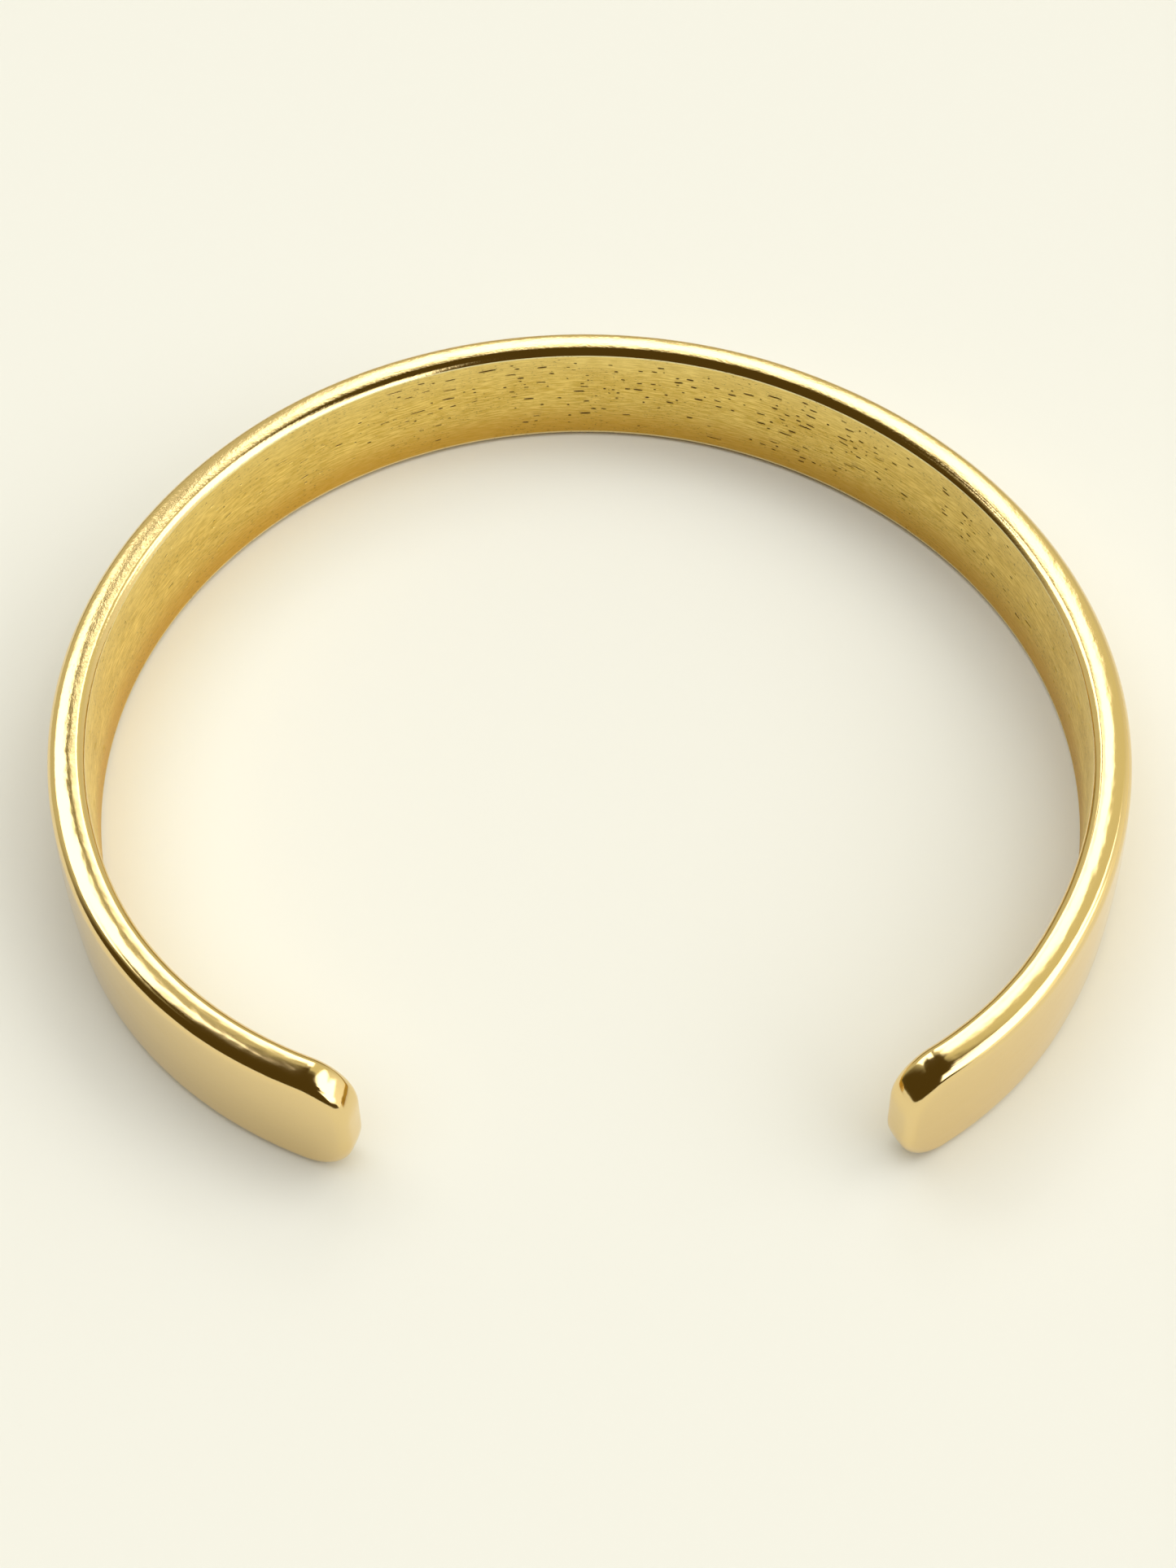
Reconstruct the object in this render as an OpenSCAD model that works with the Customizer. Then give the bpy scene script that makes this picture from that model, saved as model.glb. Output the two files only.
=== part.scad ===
// Open cuff bangle: one solid bar of gold-coloured metal, bent by hand into a C.
// The bangle lies flat, with its axis along Z and its gap facing -Y. The origin is at the
// bottom, in the middle of the outline. Right is +X and left is -X.

/* [Band] */
// Height of the band, from the lower rim to the upper rim
band_h = 7.8; // [6.4:0.1:14]
// Thickness of the band, from the inner face to the crown of the outer face
band_t = 2.4; // [2:0.05:4]
// How far the outer face falls away from its crown on the way to each rim
crown = 0.15; // [0.08:0.01:0.25]

/* [Rims] */
// Radius of the rounding between each rim and the flat inner face
inner_edge_r = 0.7; // [0.55:0.05:0.9]
// Distance from each rim to the sharp line where that rounding meets the inner face
arris_drop = 0.35; // [0.2:0.05:0.5]
// Radius of the rounding between each rim and the outer face
outer_edge_r = 0.7; // [0.4:0.05:0.8]

/* [Bends] */
// Inner radius of the bend across the back
back_r = 28.8; // [22:0.2:36]
// Angle that the back bend turns through, right of the point opposite the gap
right_back_angle = 31; // [20:1:45]
// Angle that the back bend turns through, left of the point opposite the gap
left_back_angle = 42; // [20:1:50]
// Inner radius of the long bend on each side
side_r = 33.5; // [26:0.5:44]
// Angle that the right side turns through
right_side_angle = 96; // [75:1:100]
// Angle that the left side turns through
left_side_angle = 67; // [60:1:80]
// Inner radius of the right arm, where it curls in to its end
right_arm_r = 24; // [18:0.5:36]
// Angle that the right arm turns through
right_arm_angle = 29; // [12:1:34]
// Inner radius of the left arm, where it curls in to its end
left_arm_r = 25; // [18:0.5:36]
// Angle that the left arm turns through
left_arm_angle = 49; // [30:1:58]

/* [Ends] */
// Radius of the upper and lower corners of each end, seen from the side
end_corner_r = 2.8; // [1.5:0.1:3]
// Radius of the upright edges of each end, seen from above
end_edge_r = 0.7; // [0.3:0.05:0.85]

/* [Hidden] */
$fn = 96;

// Cutters run this far past the faces that they cut
over = 1;
// Facets round a whole bend, and round the wide circle of the outer face
bend_fn = 360;
// Radius of the circle that domes the outer face, through its crown and both rims
dome_r = (pow(band_h / 2, 2) + pow(crown, 2)) / (2 * crown);
// Centre of the rounding between the upper rim and the dome, and the height at which that
// rounding runs smoothly into the dome
outer_edge_x = band_t - dome_r
    + sqrt(pow(dome_r - outer_edge_r, 2) - pow(band_h / 2 - outer_edge_r, 2));
outer_edge_top = band_h / 2
    + (band_h / 2 - outer_edge_r) * dome_r / (dome_r - outer_edge_r);
// Distance from the inner face to where the inner rounding reaches the rim
inner_land = sqrt(pow(inner_edge_r, 2) - pow(inner_edge_r - arris_drop, 2));
// Turns from the point opposite the gap to the end of each arm
right_turn = right_back_angle + right_side_angle + right_arm_angle;
left_turn = left_back_angle + left_side_angle + left_arm_angle;

// Direction away from the wrist, after turning through an angle from the back
function away(turn) = [sin(turn), cos(turn)];
// Direction along the band towards its end, at the same place
function along(turn) = [cos(turn), -sin(turn)];

// Centres of the side and arm bends, from the centre of the back bend. Each bend runs
// smoothly on from the one before, so their centres share a normal where they meet.
function side_centre(back_angle) = (back_r - side_r) * away(back_angle);
function arm_centre(back_angle, side_angle, arm_r) =
    side_centre(back_angle) + (side_r - arm_r) * away(back_angle + side_angle);
// Farthest that a side reaches from the middle
function side_reach(back_angle) = side_centre(back_angle)[0] + side_r + band_t;
// Foremost point of an end: the outside of its outer upright edge
function front_of(back_angle, side_angle, arm_r, turn) =
    (arm_centre(back_angle, side_angle, arm_r)
    + (arm_r + band_t - end_edge_r) * away(turn)
    - end_edge_r * along(turn))[1] - end_edge_r;

// The centre of the back bend goes here, so that the outline is centred on the origin
front_y = min(
    front_of(right_back_angle, right_side_angle, right_arm_r, right_turn),
    front_of(left_back_angle, left_side_angle, left_arm_r, left_turn)
);
back_centre = [
    (side_reach(left_back_angle) - side_reach(right_back_angle)) / 2,
    -(back_r + band_t + front_y) / 2
];

// Moves to a centre in a coarse step and a fine one, so that bends meet without a step
module to_centre(centre) {
    coarse = [round(centre[0]), round(centre[1])];
    translate(coarse) translate(centre - coarse) children();
}

// What a rounding of radius r takes off a corner at the origin, seen as a flat shape
// that has its material towards -X and -Y
module corner_waste(r) {
    translate([-r, -r]) difference() {
        square(r + over);
        circle(r);
    }
}

// What the two roundings of the upper rim take off the section
module rim_waste() {
    difference() {
        translate([outer_edge_x, outer_edge_top]) square(outer_edge_r + over);
        translate([outer_edge_x, band_h - outer_edge_r]) circle(outer_edge_r);
    }
    difference() {
        translate([-over, band_h - arris_drop]) square([inner_land + over, arris_drop + over]);
        translate([inner_land, band_h - inner_edge_r]) circle(inner_edge_r);
    }
}

// Section through the band: flat inside, domed outside, with rounded rims.
// X runs away from the wrist and Y runs up.
module section() {
    difference() {
        intersection() {
            square([band_t, band_h]);
            translate([band_t - dome_r, band_h / 2]) circle(dome_r, $fn = bend_fn);
        }
        rim_waste();
        translate([0, band_h]) mirror([0, 1]) rim_waste();
    }
}

// One bend of the band, between two turns from the middle of the back
module bend(centre, r, from_turn, to_turn) {
    to_centre(centre)
        rotate_extrude(start = 90 - to_turn, angle = to_turn - from_turn, $fn = bend_fn)
            translate([r, 0]) section();
}

// What the roundings take off an end that lies in the XZ plane, with its band towards +Y
module end_waste() {
    // Upper and lower corners, seen from the side
    translate([-over, 0, 0]) rotate([90, 0, 90]) linear_extrude(band_t + 2 * over) {
        translate([0, band_h]) mirror([1, 0]) corner_waste(end_corner_r);
        rotate(180) corner_waste(end_corner_r);
    }
    // Upright edges, seen from above
    translate([0, 0, -over]) linear_extrude(band_h + 2 * over) {
        translate([band_t, 0]) mirror([0, 1]) corner_waste(end_edge_r);
        rotate(180) corner_waste(end_edge_r);
    }
}

// Half of the band, from the point opposite the gap to one end, on the +X side
module half_band(back_angle, side_angle, arm_r, turn) {
    arm_middle = arm_centre(back_angle, side_angle, arm_r);
    bend([0, 0], back_r, 0, back_angle);
    bend(side_centre(back_angle), side_r, back_angle, back_angle + side_angle);
    difference() {
        bend(arm_middle, arm_r, back_angle + side_angle, turn);
        to_centre(arm_middle) rotate(90 - turn) translate([arm_r, 0, 0]) end_waste();
    }
}

module cuff_band() {
    color("goldenrod") translate([back_centre[0], back_centre[1], 0]) {
        half_band(right_back_angle, right_side_angle, right_arm_r, right_turn);
        mirror([1, 0, 0])
            half_band(left_back_angle, left_side_angle, left_arm_r, left_turn);
    }
}

cuff_band();
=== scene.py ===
"""Looks of the open cuff bangle: one bar of polished gold-coloured metal, satin and pitted inside.

The visual is one closed mesh, `cuff_band_metal`, that stands for CAD node `cuff_band`. It is laid
out flat as (s, z, u) and bent: s runs along the inner face from the right end to the left end, z
runs up, and u runs away from the wrist. The bends are the CAD's own. Units are metres.
"""

import math
import random

import bpy
import numpy as np
from mathutils import Matrix, Vector
from mathutils.geometry import delaunay_2d_cdt


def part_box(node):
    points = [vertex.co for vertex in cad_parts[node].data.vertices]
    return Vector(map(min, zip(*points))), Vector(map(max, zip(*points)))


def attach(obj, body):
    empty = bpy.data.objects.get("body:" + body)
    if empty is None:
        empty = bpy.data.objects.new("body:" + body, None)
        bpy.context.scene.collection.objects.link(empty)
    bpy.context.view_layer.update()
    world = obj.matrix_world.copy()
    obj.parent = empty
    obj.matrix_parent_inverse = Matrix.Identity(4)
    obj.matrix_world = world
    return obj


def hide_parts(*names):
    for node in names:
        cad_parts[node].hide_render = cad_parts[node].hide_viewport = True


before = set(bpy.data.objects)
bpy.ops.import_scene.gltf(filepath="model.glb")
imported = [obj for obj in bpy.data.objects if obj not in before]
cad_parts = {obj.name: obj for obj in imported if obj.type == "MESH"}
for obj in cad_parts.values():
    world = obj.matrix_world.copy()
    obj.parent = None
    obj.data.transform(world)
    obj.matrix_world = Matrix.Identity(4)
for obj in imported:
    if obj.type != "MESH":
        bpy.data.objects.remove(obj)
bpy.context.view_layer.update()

MM = 0.001

# ---------------------------------------------------------------- sizes, the same as the CAD's
BAND_H = 7.8 * MM
BAND_T = 2.4 * MM
CROWN = 0.15 * MM
INNER_EDGE_R = 0.7 * MM
ARRIS_DROP = 0.35 * MM
OUTER_EDGE_R = 0.7 * MM
CORNER_R = 2.8 * MM
BACK_R = 28.8 * MM
SIDE_R = 33.5 * MM
RIGHT = dict(back=31, side=96, arm=29, arm_r=24 * MM)
LEFT = dict(back=42, side=67, arm=49, arm_r=25 * MM)

DOME_R = ((BAND_H / 2) ** 2 + CROWN ** 2) / (2 * CROWN)
INNER_LAND = math.sqrt(INNER_EDGE_R ** 2 - (INNER_EDGE_R - ARRIS_DROP) ** 2)
# Polishing leaves each rim slightly crowned: how far it leans where it meets its roundings
RIM_LEAN = math.radians(6)


# ---------------------------------------------------------------- the plan: bends end to end
def arcs_of(half):
    """The three arcs of half the band from the middle of the back: centre, radius, start, sweep."""
    def away(degrees):
        return np.array([math.sin(math.radians(degrees)), math.cos(math.radians(degrees))])

    side_centre = (BACK_R - SIDE_R) * away(half["back"])
    turn = half["back"] + half["side"]
    arm_centre = side_centre + (SIDE_R - half["arm_r"]) * away(turn)
    return [
        (np.zeros(2), BACK_R, 0, half["back"]),
        (side_centre, SIDE_R, half["back"], half["side"]),
        (arm_centre, half["arm_r"], turn, half["arm"]),
    ]


def length_of(half):
    return sum(r * math.radians(sweep) for _, r, _, sweep in arcs_of(half))


RIGHT_LENGTH = length_of(RIGHT)
LENGTH = RIGHT_LENGTH + length_of(LEFT)


def place(s, u):
    """Plan position of a point that is s along the inner face and u away from it."""
    s, u = np.broadcast_arrays(np.asarray(s, float), np.asarray(u, float))
    out = np.zeros(s.shape + (2,))
    along = RIGHT_LENGTH - s
    for half, sign in ((RIGHT, 1), (LEFT, -1)):
        run, start = sign * along, 0.0
        for centre, r, turn, sweep in arcs_of(half):
            end = start + r * math.radians(sweep)
            # The last arc takes its end point too, which rounding may put just past it
            mine = (run >= start - 1e-12) & ((run < end) | (end > run.max() - 1e-9))
            angle = math.radians(turn) + (run - start) / r
            x = centre[0] + (r + u) * np.sin(angle)
            y = centre[1] + (r + u) * np.cos(angle)
            out[mine] = np.stack([sign * x, y], -1)[mine]
            start = end
    return out


# ---------------------------------------------------------------- the outline, as columns of points
# Spacing of the columns along the straight edges, steps round a corner, and rows up the outer face
SIDE_STEP = 0.38 * MM
CORNER_STEPS = 14
ROWS = 16


def columns():
    """Columns of the outline from the right end to the left: where each is along s, and the s and z
    parts of the outward direction at its upper point. The lower point mirrors it."""
    cols = []
    for k in range(CORNER_STEPS + 1):
        a = math.pi / 2 * k / CORNER_STEPS
        cols.append((CORNER_R * (1 - math.cos(a)), a))
    n = int(round((LENGTH - 2 * CORNER_R) / SIDE_STEP))
    for k in range(1, n):
        cols.append((CORNER_R + (LENGTH - 2 * CORNER_R) * k / n, math.pi / 2))
    for k in range(CORNER_STEPS, -1, -1):
        a = math.pi / 2 * k / CORNER_STEPS
        cols.append((LENGTH - CORNER_R * (1 - math.cos(a)), math.pi - a))
    s = np.array([c[0] for c in cols])
    a = np.array([c[1] for c in cols])
    return s, -np.cos(a), np.sin(a)


COL_S, COL_NS, COL_NZ = columns()


def outline():
    """The outline, one row a point: s, z and the outward direction's s and z parts. It runs along the
    top from the right end, down the left end, back along the bottom and up the right end."""
    half = BAND_H / 2
    top_z = half - CORNER_R + CORNER_R * COL_NZ
    top = np.stack([COL_S, half + top_z, COL_NS, COL_NZ], 1)
    low = np.stack([COL_S, half - top_z, COL_NS, -COL_NZ], 1)[::-1]
    reach = half - CORNER_R
    steps = np.linspace(reach, -reach, ROWS + 1)[1:-1]
    left_end = np.stack([np.full(ROWS - 1, LENGTH), half + steps,
                         np.ones(ROWS - 1), np.zeros(ROWS - 1)], 1)
    right_end = np.stack([np.zeros(ROWS - 1), half - steps,
                          -np.ones(ROWS - 1), np.zeros(ROWS - 1)], 1)
    return np.concatenate([top, left_end, low, right_end])


OUTLINE = outline()
LOOP = len(OUTLINE)
COLS = len(COL_S)


def dome(z):
    return BAND_T - DOME_R + np.sqrt(DOME_R ** 2 - (z - BAND_H / 2) ** 2)


# Loops round the inner rounding, across the flat (its two edge loops counted) and round the outer
# rounding, and rounds of the search for where that last one meets the dome
INNER_LOOPS = 11
FLAT_LOOPS = 9
OUTER_LOOPS = 13
MEETING_ROUNDS = 4


def rim_loops():
    """Inset from the outline and height above the inner face, loop by loop, from arris to dome."""
    # Where the outer rounding runs into the dome, for every point of the outline
    inset = np.full(LOOP, OUTER_EDGE_R)
    for _ in range(MEETING_ROUNDS):
        z = OUTLINE[:, 1] - OUTLINE[:, 3] * inset
        slope = OUTLINE[:, 3] * (z - BAND_H / 2) / np.sqrt(DOME_R ** 2 - (z - BAND_H / 2) ** 2)
        last = np.arctan2(1.0, slope)
        middle = dome(z) - OUTER_EDGE_R * np.sin(last)
        from_u = INNER_LAND - INNER_EDGE_R * math.sin(RIM_LEAN)
        to_u = middle + OUTER_EDGE_R * math.sin(RIM_LEAN)
        sag = (to_u - from_u) / 4 * math.tan(RIM_LEAN)
        sink = sag - OUTER_EDGE_R * (1 - math.cos(RIM_LEAN))
        inset = sink + OUTER_EDGE_R * (1 - np.cos(last))
    loops = []
    first = math.asin(1 - ARRIS_DROP / INNER_EDGE_R)
    for a in np.linspace(first, math.pi / 2 - RIM_LEAN, INNER_LOOPS):
        loops.append((sink + INNER_EDGE_R * (1 - math.sin(a)),
                      np.full(LOOP, INNER_LAND - INNER_EDGE_R * math.cos(a))))
    for f in np.linspace(-1, 1, FLAT_LOOPS)[1:-1]:
        loops.append((sag * f * f, (from_u + to_u) / 2 + (to_u - from_u) / 2 * f))
    for f in np.linspace(0, 1, OUTER_LOOPS):
        a = RIM_LEAN + (last - RIM_LEAN) * f
        loops.append((sink + OUTER_EDGE_R * (1 - np.cos(a)), middle + OUTER_EDGE_R * np.sin(a)))
    return loops


# ---------------------------------------------------------------- pits of the inner face
SEED = 11
# The stretch at each end that has no pits
BARE_END = 4 * MM
# Spacing of a ring's points along a long pit
RING_STEP = 0.05 * MM
# Rings of a pit: how far outside its outline each lies, in half widths, and its part of the depth
LIP = 1.3
PIT_RINGS = ((-0.6, 1.0), (-0.1, 0.8), (0.35, 0.0), (LIP, 0.0))


def pits(rng):
    """Elongated pits along the inner face: (s, z, half length, half width, depth, lean)."""
    back = RIGHT_LENGTH
    # Where pits crowd together: distance from the middle of the back, spread, how many
    crowds = [(18 * MM, 5 * MM, 90), (2 * MM, 5 * MM, 80), (10 * MM, 5 * MM, 30),
              (-9 * MM, 5 * MM, 40), (-17 * MM, 4 * MM, 16), (31 * MM, 6 * MM, 40),
              (-31 * MM, 6 * MM, 20), (-44 * MM, 7 * MM, 14), (44 * MM, 7 * MM, 20)]
    found = []
    low, high = 0.6 * MM, BAND_H - 0.75 * MM
    for middle, spread, count in crowds:
        for _ in range(count):
            s = back - rng.gauss(middle, spread)
            z = low + (high - low) * rng.betavariate(2.1, 1.5)
            half_long = min(0.7, 0.07 + rng.expovariate(1 / 0.13)) * MM
            half_wide = rng.uniform(0.022, 0.05) * MM
            depth = rng.uniform(0.035, 0.07) * MM
            # Pits keep apart, so that their lips don't cross
            clear = all(abs(s - p[0]) > half_long + p[2] + 0.2 * MM
                        or abs(z - p[1]) > 2.6 * (half_wide + p[3]) + 0.06 * MM for p in found)
            if clear and BARE_END < s < LENGTH - BARE_END:
                found.append((s, z, half_long, half_wide, depth, rng.uniform(-0.08, 0.08)))
    return found


def pit_points(found):
    """Points of every pit (s, z, depth, how deep as a part of 1): a floor, a wall and two lips."""
    points = []
    for s, z, half_long, half_wide, depth, lean in found:
        around = 8 + 2 * int(half_long / RING_STEP)
        for grow, part in PIT_RINGS:
            for k in range(around):
                a = 2 * math.pi * k / around
                ahead = (half_long + grow * half_wide) * math.cos(a)
                points.append((s + ahead, z + (1 + grow) * half_wide * math.sin(a) + lean * ahead,
                               part * depth, part))
    return points


# ---------------------------------------------------------------- the mesh
# The plain net that fills the inner face: strips up it, and millimetres between its columns
NET_ROWS = 12
NET_STEP = 0.55
# How far the net stays from the long edges, from the ends, and beside and beyond a pit's lip
FROM_EDGE = 0.6 * MM
FROM_END = 0.7 * MM
BESIDE_PIT = 0.11 * MM
BEYOND_PIT = 0.1 * MM


class Skin:
    """The band's surface laid out flat: points (s, z, u), how deep in a pit each is, and faces."""

    def __init__(self):
        self.flat, self.pit, self.faces, self.satin = [], [], [], []

    def point(self, s, z, u, pit=0.0):
        self.flat.append((s, z, u))
        self.pit.append(pit)
        return len(self.flat) - 1

    def face(self, corners, satin=False):
        self.faces.append(tuple(int(i) for i in corners))
        self.satin.append(satin)


def add_rims(skin):
    """Loops of faces from the arris over the rim to the dome. Returns the last loop's first point."""
    loops = rim_loops()
    for inset, u in loops:
        s = OUTLINE[:, 0] - OUTLINE[:, 2] * inset
        z = OUTLINE[:, 1] - OUTLINE[:, 3] * inset
        for corner in zip(s, z, u):
            skin.point(*corner)
    for k in range(len(loops) - 1):
        for i in range(LOOP):
            j = (i + 1) % LOOP
            skin.face((k * LOOP + i, (k + 1) * LOOP + i, (k + 1) * LOOP + j, k * LOOP + j))
    return (len(loops) - 1) * LOOP


def add_dome(skin, last):
    """The outer face: columns of faces between the last loop's upper and lower points."""
    grid = np.zeros((COLS, ROWS + 1), int)
    for c in range(COLS):
        top = last + c
        low = last + COLS + (ROWS - 1) + (COLS - 1 - c)
        grid[c, 0], grid[c, ROWS] = top, low
        for r in range(1, ROWS):
            if c == 0:
                grid[c, r] = last + LOOP - r
            elif c == COLS - 1:
                grid[c, r] = last + COLS + r - 1
            else:
                f = r / ROWS
                s = skin.flat[top][0] * (1 - f) + skin.flat[low][0] * f
                z = skin.flat[top][1] * (1 - f) + skin.flat[low][1] * f
                grid[c, r] = skin.point(s, z, float(dome(z)))
    for c in range(COLS - 1):
        for r in range(ROWS):
            skin.face((grid[c, r], grid[c, r + 1], grid[c + 1, r + 1], grid[c + 1, r]))


def net_points(found):
    """Points (s, z) of the plain net, clear of the inner face's edge and of the pits."""
    net = []
    for k in range(1, int(LENGTH / (NET_STEP * MM))):
        s = k * NET_STEP * MM
        from_end = min(s, LENGTH - s)
        corner = max(0.0, CORNER_R - from_end)
        reach = BAND_H / 2 - CORNER_R + math.sqrt(max(0.0, CORNER_R ** 2 - corner ** 2))
        for r in range(1, NET_ROWS):
            z = ARRIS_DROP + (BAND_H - 2 * ARRIS_DROP) * r / NET_ROWS
            if abs(z - BAND_H / 2) > reach - FROM_EDGE or from_end < FROM_END:
                continue
            if all(abs(s - at_s) > half_long + LIP * half_wide + BEYOND_PIT
                   or abs(z - at_z) > (1 + LIP) * half_wide + BESIDE_PIT
                   for at_s, at_z, half_long, half_wide, _, _ in found):
                net.append((s, z))
    return net


def add_inner_face(skin, rng):
    """The satin inner face: the arris, the first loop, filled with triangles over the net and pits."""
    found = pits(rng)
    arris = [skin.flat[i] for i in range(LOOP)]
    extra = pit_points(found)
    # In millimetres, so that the triangulation's tolerance is small beside the pits
    points = [Vector(p[:2]) / MM for p in arris + extra + net_points(found)]
    edges = [(i, (i + 1) % LOOP) for i in range(LOOP)]
    verts, _, tris, origin, _, _ = delaunay_2d_cdt(points, edges, [list(range(LOOP))], 1, 1e-6)
    index = {}
    for n, (v, o) in enumerate(zip(verts, origin)):
        first = min(o) if o else len(points)
        if first < LOOP:
            index[n] = first
            continue
        depth, part = extra[first - LOOP][2:] if first < LOOP + len(extra) else (0.0, 0.0)
        index[n] = skin.point(v[0] * MM, v[1] * MM, depth, part)
    for t in tris:
        corners = [index[n] for n in t]
        a, b, c = (skin.flat[n] for n in corners)
        turn = (b[0] - a[0]) * (c[1] - a[1]) - (b[1] - a[1]) * (c[0] - a[0])
        skin.face(corners if turn < 0 else corners[::-1], satin=True)


def sharpen_arris(mesh):
    """Mark the edges of the first loop as sharp."""
    sharp = mesh.attributes.new("sharp_edge", "BOOLEAN", "EDGE")
    ends = np.zeros(len(mesh.edges) * 2, int)
    mesh.edges.foreach_get("vertices", ends)
    sharp.data.foreach_set("value", (ends.reshape(-1, 2) < LOOP).all(1))


def build_band():
    """The whole band as one mesh, bent along the plan."""
    skin = Skin()
    last = add_rims(skin)
    add_dome(skin, last)
    add_inner_face(skin, random.Random(SEED))

    flat = np.array(skin.flat)
    plan = place(flat[:, 0], flat[:, 2])
    _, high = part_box("cuff_band")
    # The crown of the outer face touches the CAD's box on the right and at the back
    plan += np.array([high.x, high.y]) - plan.max(0)
    mesh = bpy.data.meshes.new("cuff_band_metal")
    mesh.from_pydata(np.column_stack([plan, flat[:, 1]]).tolist(), [], skin.faces)
    mesh.validate()
    mesh.update()
    mesh.polygons.foreach_set("use_smooth", np.ones(len(mesh.polygons), bool))
    mesh.polygons.foreach_set("material_index", np.array(skin.satin, int))
    sharpen_arris(mesh)
    # For the materials: how deep each point lies in a pit, and its (s, z, u) in millimetres
    layer = mesh.attributes.new("pit", "FLOAT", "POINT")
    layer.data.foreach_set("value", np.array(skin.pit))
    laid = mesh.attributes.new("laid", "FLOAT_VECTOR", "POINT")
    laid.data.foreach_set("vector", (flat / MM).ravel())
    band = bpy.data.objects.new("cuff_band_metal", mesh)
    bpy.context.scene.collection.objects.link(band)
    return band


# ---------------------------------------------------------------- nodes
class Nodes:
    """Short calls for building a node tree."""

    def __init__(self, tree):
        self.tree = tree
        tree.nodes.clear()

    def add(self, kind, inputs=(), **settings):
        node = self.tree.nodes.new(kind)
        for name, value in settings.items():
            setattr(node, name, value)
        for name, value in dict(inputs).items():
            if isinstance(value, bpy.types.NodeSocket):
                self.tree.links.new(value, node.inputs[name])
            elif value is not None:
                node.inputs[name].default_value = value
        return node

    def math(self, operation, a, b=None):
        node = self.add("ShaderNodeMath", {0: a, 1: b}, operation=operation)
        return node.outputs[0]

    def smooth(self, value, low, high, to_low=0.0, to_high=1.0):
        node = self.add("ShaderNodeMapRange", {
            "Value": value, "From Min": low, "From Max": high, "To Min": to_low, "To Max": to_high,
        }, interpolation_type="SMOOTHSTEP")
        return node.outputs["Result"]

    def noise(self, vector, scale, detail=2.0, rough=0.5):
        node = self.add("ShaderNodeTexNoise", {
            "Vector": vector, "Scale": scale, "Detail": detail, "Roughness": rough})
        return node.outputs["Fac"]

    def mix(self, factor, a, b):
        node = self.add("ShaderNodeMix", data_type="RGBA")
        # Sockets 6 and 7 of a Mix node are its two colours, and output 2 is the mixed one
        for socket, value in ((node.inputs[0], factor), (node.inputs[6], a), (node.inputs[7], b)):
            if isinstance(value, bpy.types.NodeSocket):
                self.tree.links.new(value, socket)
            else:
                socket.default_value = value
        return node.outputs[2]

    def stretch(self, vector, scale):
        node = self.add("ShaderNodeVectorMath", {0: vector, 1: scale}, operation="MULTIPLY")
        return node.outputs[0]


# ---------------------------------------------------------------- materials
def material(name):
    made = bpy.data.materials.new(name)
    made.use_nodes = True
    return made, Nodes(made.node_tree)


def polished():
    """Mirror-polished gold with faint waves left by polishing by hand."""
    made, n = material("band_metal_polished")
    laid = n.add("ShaderNodeAttribute", attribute_name="laid").outputs["Vector"]
    # Broad waves and fine scratches. The numbers are how fine, per millimetre of s, z and u.
    wave = n.noise(n.stretch(laid, (0.4, 1.1, 1.1)), 1.0, 2.0)
    fine = n.noise(n.stretch(laid, (4.0, 7.0, 7.0)), 1.0, 3.0, 0.6)
    # The scratches are deeper towards the back, where the polishing wheel reached less well
    along = n.math("ABSOLUTE", n.math("SUBTRACT", n.add("ShaderNodeSeparateXYZ", {
        "Vector": laid}).outputs["X"], RIGHT_LENGTH / MM))
    worn = n.smooth(along, 34, 60, 0.42, 0.02)
    height = n.math("ADD", wave, n.math("MULTIPLY", fine, worn))
    bump = n.add("ShaderNodeBump", {"Height": height, "Strength": 1.0, "Distance": 0.02 * MM})
    metal = n.add("ShaderNodeBsdfPrincipled", {
        "Base Color": (0.82, 0.63, 0.31, 1.0), "Metallic": 1.0, "Roughness": 0.1,
        "Normal": bump.outputs["Normal"]})
    n.add("ShaderNodeOutputMaterial", {"Surface": metal.outputs["BSDF"]})
    return made


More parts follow.
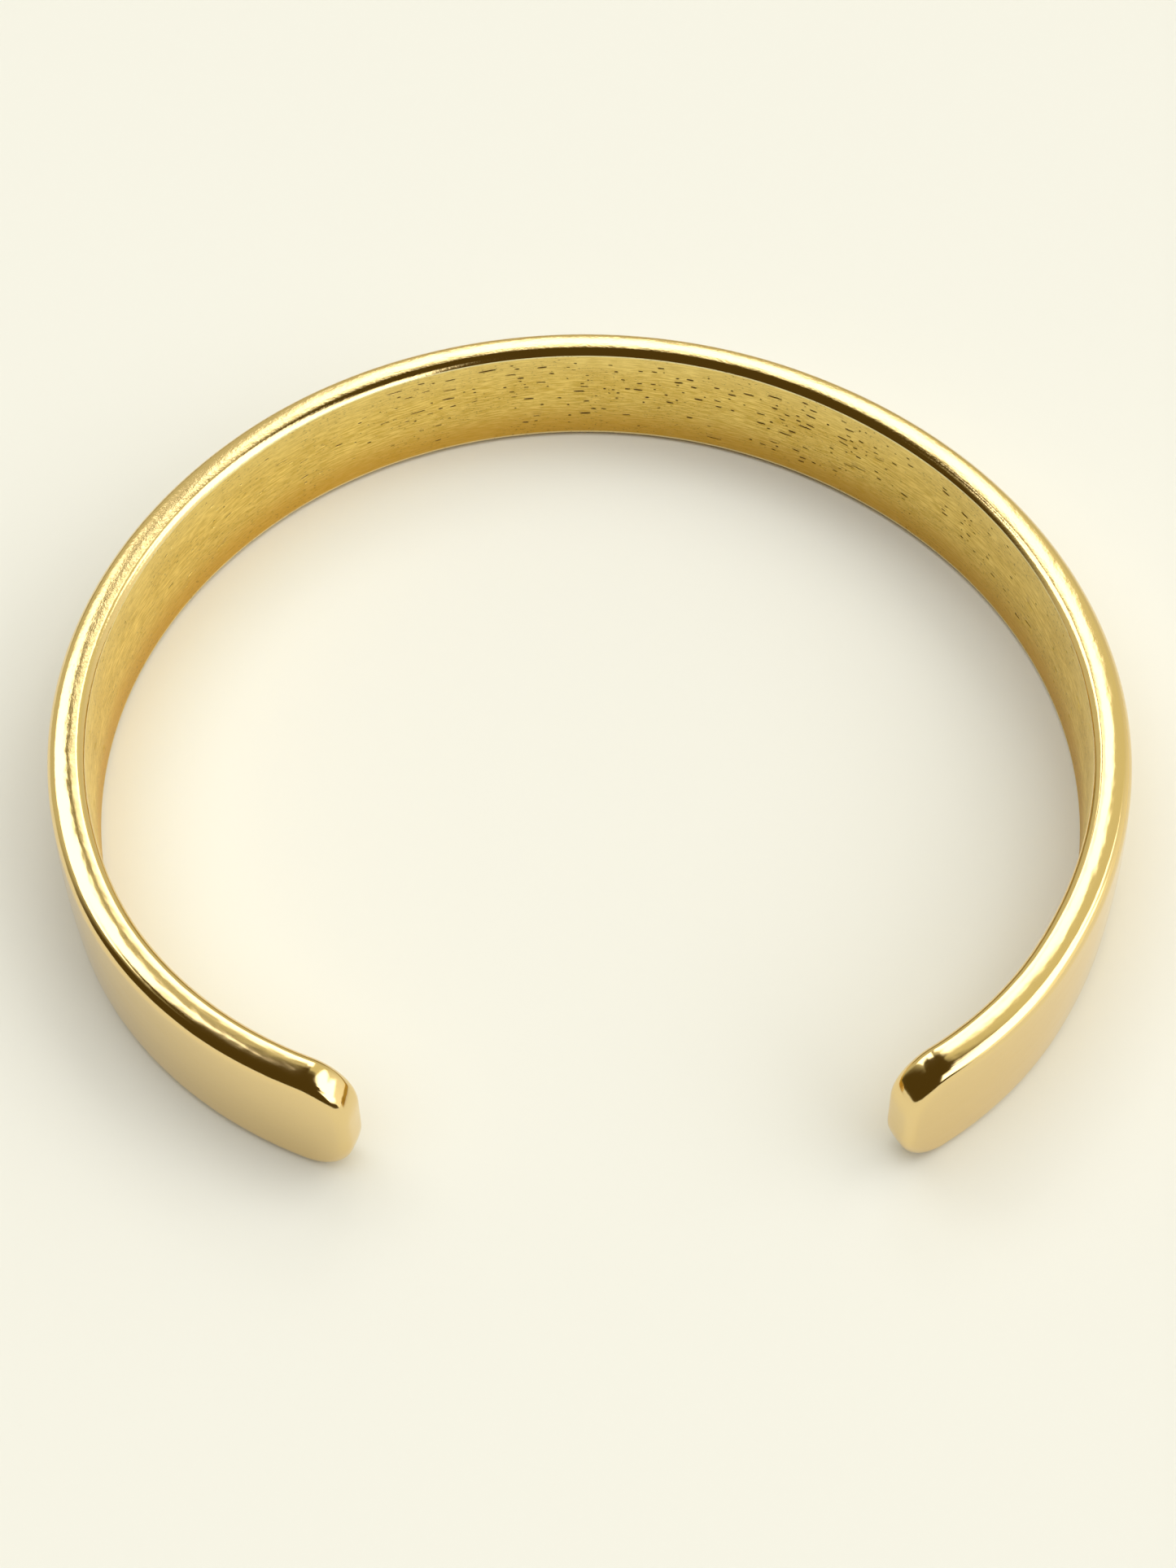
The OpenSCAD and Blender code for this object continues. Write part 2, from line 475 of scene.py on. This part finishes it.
def satin():
    """The unpolished inner face: satin, grained along the band, with painted shade in its pits."""
    made, n = material("band_metal_satin")
    laid = n.add("ShaderNodeAttribute", attribute_name="laid").outputs["Vector"]
    pit = n.add("ShaderNodeAttribute", attribute_name="pit").outputs["Fac"]
    grain = n.noise(n.stretch(laid, (0.9, 9.0, 1.0)), 1.0, 4.0, 0.6)
    cloud = n.noise(n.stretch(laid, (0.22, 0.55, 1.0)), 1.0, 3.0, 0.6)
    speck = n.smooth(n.noise(n.stretch(laid, (3.2, 9.0, 1.0)), 1.0, 3.0, 0.65), 0.57, 0.68)
    speck = n.math("MULTIPLY", speck, n.smooth(cloud, 0.4, 0.58))
    # Grain, then broad duller patches
    colour = n.mix(n.smooth(grain, 0.36, 0.64), (0.7, 0.49, 0.1, 1.0), (0.96, 0.74, 0.23, 1.0))
    colour = n.mix(n.smooth(cloud, 0.35, 0.7, 0.0, 0.5), colour, (0.66, 0.45, 0.09, 1.0))
    # Painted shade: ruddier and darker low down, towards the floor, with an uneven upper edge; and
    # painted light: paler towards the top
    height = n.add("ShaderNodeSeparateXYZ", {"Vector": laid}).outputs["Y"]
    painted_low_shade = n.smooth(n.math("ADD", height, n.math("MULTIPLY", cloud, 1.6)), 1.6, 4.2, 0.75, 0.0)
    colour = n.mix(painted_low_shade, colour, (0.64, 0.37, 0.05, 1.0))
    colour = n.mix(n.smooth(height, 4.6, 7.4, 0.0, 0.4), colour, (0.92, 0.76, 0.3, 1.0))
    # Painted highlight: a fine bright line along the edge of the inner face, standing in for the light
    # that the arris catches
    from_middle = n.math("ABSOLUTE", n.math("SUBTRACT", height, BAND_H / 2 / MM))
    arris = (BAND_H / 2 - ARRIS_DROP) / MM
    painted_arris_highlight = n.smooth(from_middle, arris - 0.17, arris - 0.08)
    colour = n.mix(n.math("MULTIPLY", painted_arris_highlight, 0.75), colour, (0.95, 0.88, 0.55, 1.0))
    # Dark specks, and painted shade on the floors of the pits
    colour = n.mix(n.math("MULTIPLY", speck, 0.7), colour, (0.16, 0.08, 0.02, 1.0))
    colour = n.mix(n.smooth(pit, 0.1, 0.9), colour, (0.1, 0.05, 0.02, 1.0))
    bump = n.add("ShaderNodeBump", {"Height": grain, "Strength": 0.6, "Distance": 0.05 * MM})
    metal = n.add("ShaderNodeBsdfPrincipled", {
        "Base Color": colour, "Metallic": 1.0, "Roughness": 0.42,
        "Normal": bump.outputs["Normal"]})
    n.add("ShaderNodeOutputMaterial", {"Surface": metal.outputs["BSDF"]})
    return made


def pale():
    """The floor's plain pale finish."""
    made, n = material("floor")
    matt = n.add("ShaderNodeBsdfPrincipled", {
        "Base Color": (0.86, 0.86, 0.8, 1.0), "Roughness": 0.9, "Specular IOR Level": 0.1})
    n.add("ShaderNodeOutputMaterial", {"Surface": matt.outputs["BSDF"]})
    return made


# ---------------------------------------------------------------- light
# Windows that the metal shows: from turn, to turn, from rise, to rise and softness, in degrees.
# Turn is clockwise from +Y seen from above, and rise is above the horizon.
WINDOWS = ((-3, 8, 36, 46, 5), (9, 18, 38, 51, 5), (-57, -30, 41, 51, 4), (-30, -14, 41, 56, 3),
           (52, 88, 44, 60, 6), (76, 110, 28, 54, 7), (100, 146, 21, 43, 6))
# How much of the room's light reaches what isn't metal or seen directly
ROOM_SHARE = 0.68


def room():
    """A softly lit room: pale windows at the back and on the right, and dark to the left, in front
    and overhead."""
    world = bpy.data.worlds.new("room")
    bpy.context.scene.world = world
    world.use_nodes = True
    n = Nodes(world.node_tree)
    towards = n.add("ShaderNodeTexCoord").outputs["Generated"]
    parts = n.add("ShaderNodeSeparateXYZ", {"Vector": towards})
    x, y, z = parts.outputs
    turn = n.math("MULTIPLY", n.math("ARCTAN2", x, y), 180 / math.pi)
    rise = n.math("MULTIPLY", n.math("ARCSINE", z), 180 / math.pi)

    def patch(from_turn, to_turn, from_rise, to_rise, soft=6):
        """1 inside the patch, fading to 0 over `soft` degrees outside it."""
        a = n.smooth(turn, from_turn - soft, from_turn)
        b = n.smooth(turn, to_turn, to_turn + soft, 1.0, 0.0)
        c = n.smooth(rise, from_rise - soft, from_rise)
        d = n.smooth(rise, to_rise, to_rise + soft, 1.0, 0.0)
        return n.math("MULTIPLY", n.math("MULTIPLY", a, b), n.math("MULTIPLY", c, d))

    white = (3.1, 3.05, 2.9, 1.0)
    dark = (0.085, 0.056, 0.012, 1.0)
    # The wall, paler to the right, and darker low down at the back
    wall = n.mix(n.smooth(turn, 20, 110), (0.66, 0.62, 0.42, 1.0), (1.25, 1.2, 1.0, 1.0))
    wall = n.mix(patch(-34, 24, -10, 7, 7), wall, (0.34, 0.29, 0.15, 1.0))
    # Dark room: to the left, in front and overhead, but not below the horizon
    left = n.smooth(turn, -80, -54, 1.0, 0.0)
    front = n.smooth(n.math("SUBTRACT", turn, n.smooth(rise, 8, 28, 0.0, 30.0)), 116, 126)
    above = n.smooth(rise, 52, 57)
    gloom = n.math("MAXIMUM", n.math("MAXIMUM", left, front), above)
    gloom = n.math("MULTIPLY", gloom, n.smooth(rise, -6, 4))
    colour = n.mix(gloom, wall, dark)
    # A stretch of plain wall between the windows at the back and those on the right
    colour = n.mix(patch(18, 48, 32, 58, 6), colour, (0.8, 0.75, 0.48, 1.0))
    lit = patch(*WINDOWS[0])
    for window in WINDOWS[1:]:
        lit = n.math("MAXIMUM", lit, patch(*window))
    colour = n.mix(lit, colour, white)
    # The frame between the two windows at the back
    colour = n.mix(patch(-11, -7, 44, 49, 2), colour, (0.14, 0.11, 0.03, 1.0))
    # The camera sees a plain backdrop. The metal shows the room at full strength, and the floor
    # gets less of it, with the rest from overhead.
    path = n.add("ShaderNodeLightPath")
    colour = n.mix(path.outputs["Is Camera Ray"], colour, (0.93, 0.92, 0.85, 1.0))
    shown = n.math("MAXIMUM", path.outputs["Is Camera Ray"], path.outputs["Is Glossy Ray"])
    strength = n.math("ADD", n.math("MULTIPLY", shown, 1 - ROOM_SHARE), ROOM_SHARE)
    background = n.add("ShaderNodeBackground", {"Color": colour, "Strength": strength})
    n.add("ShaderNodeOutputWorld", {"Surface": background.outputs["Background"]})


def overhead():
    """A broad soft sun overhead that fills the shadows. The metal shows the room, not the lamp."""
    light = bpy.data.lights.new("overhead", "SUN")
    light.angle = math.radians(80)
    light.energy = 1.68
    light.color = (1.0, 1.0, 0.98)
    lamp = bpy.data.objects.new("overhead", light)
    lamp.rotation_euler = (math.radians(5), math.radians(-7), 0)
    lamp.visible_camera = False
    lamp.visible_glossy = False
    bpy.context.scene.collection.objects.link(lamp)


# ---------------------------------------------------------------- floor
def build_floor():
    """A wide floor just under the band, so that the two faces don't coincide."""
    reach = 6.0
    mesh = bpy.data.meshes.new("floor")
    mesh.from_pydata([(-reach, -reach, 0), (reach, -reach, 0), (reach, reach, 0), (-reach, reach, 0)],
                     [], [(0, 1, 2, 3)])
    floor = bpy.data.objects.new("floor", mesh)
    floor.data.materials.append(pale())
    floor.location.z = -0.02 * MM
    bpy.context.scene.collection.objects.link(floor)


# ---------------------------------------------------------------- camera
def camera():
    """Seen from in front and above, looking down into the band."""
    # Turn, rise and roll in degrees, and how far the camera is from the point it looks at
    turn, rise, distance, roll = 3.52, 49.9, 177.4 * MM, -1.04
    cam = bpy.data.objects.new("camera", bpy.data.cameras.new("camera"))
    bpy.context.scene.collection.objects.link(cam)
    cam.data.sensor_width = 36
    cam.data.lens = 64.2
    cam.data.clip_start = 0.01
    cam.data.clip_end = 20
    about = Matrix.Rotation(math.radians(-turn), 4, "Z")
    tilt = Matrix.Rotation(math.radians(90 - rise), 4, "X")
    aim = Matrix.Translation((0.095 * MM, -2.305 * MM, 0))
    spin = Matrix.Rotation(math.radians(roll), 4, "Z")
    cam.matrix_world = about @ aim @ tilt @ Matrix.Translation((0, 0, distance)) @ spin
    bpy.context.scene.camera = cam


# ---------------------------------------------------------------- put together
band = build_band()
band.data.materials.append(polished())
band.data.materials.append(satin())
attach(band, "root")
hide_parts("cuff_band")

build_floor()
room()
overhead()
camera()
bpy.context.scene.view_settings.view_transform = "Standard"
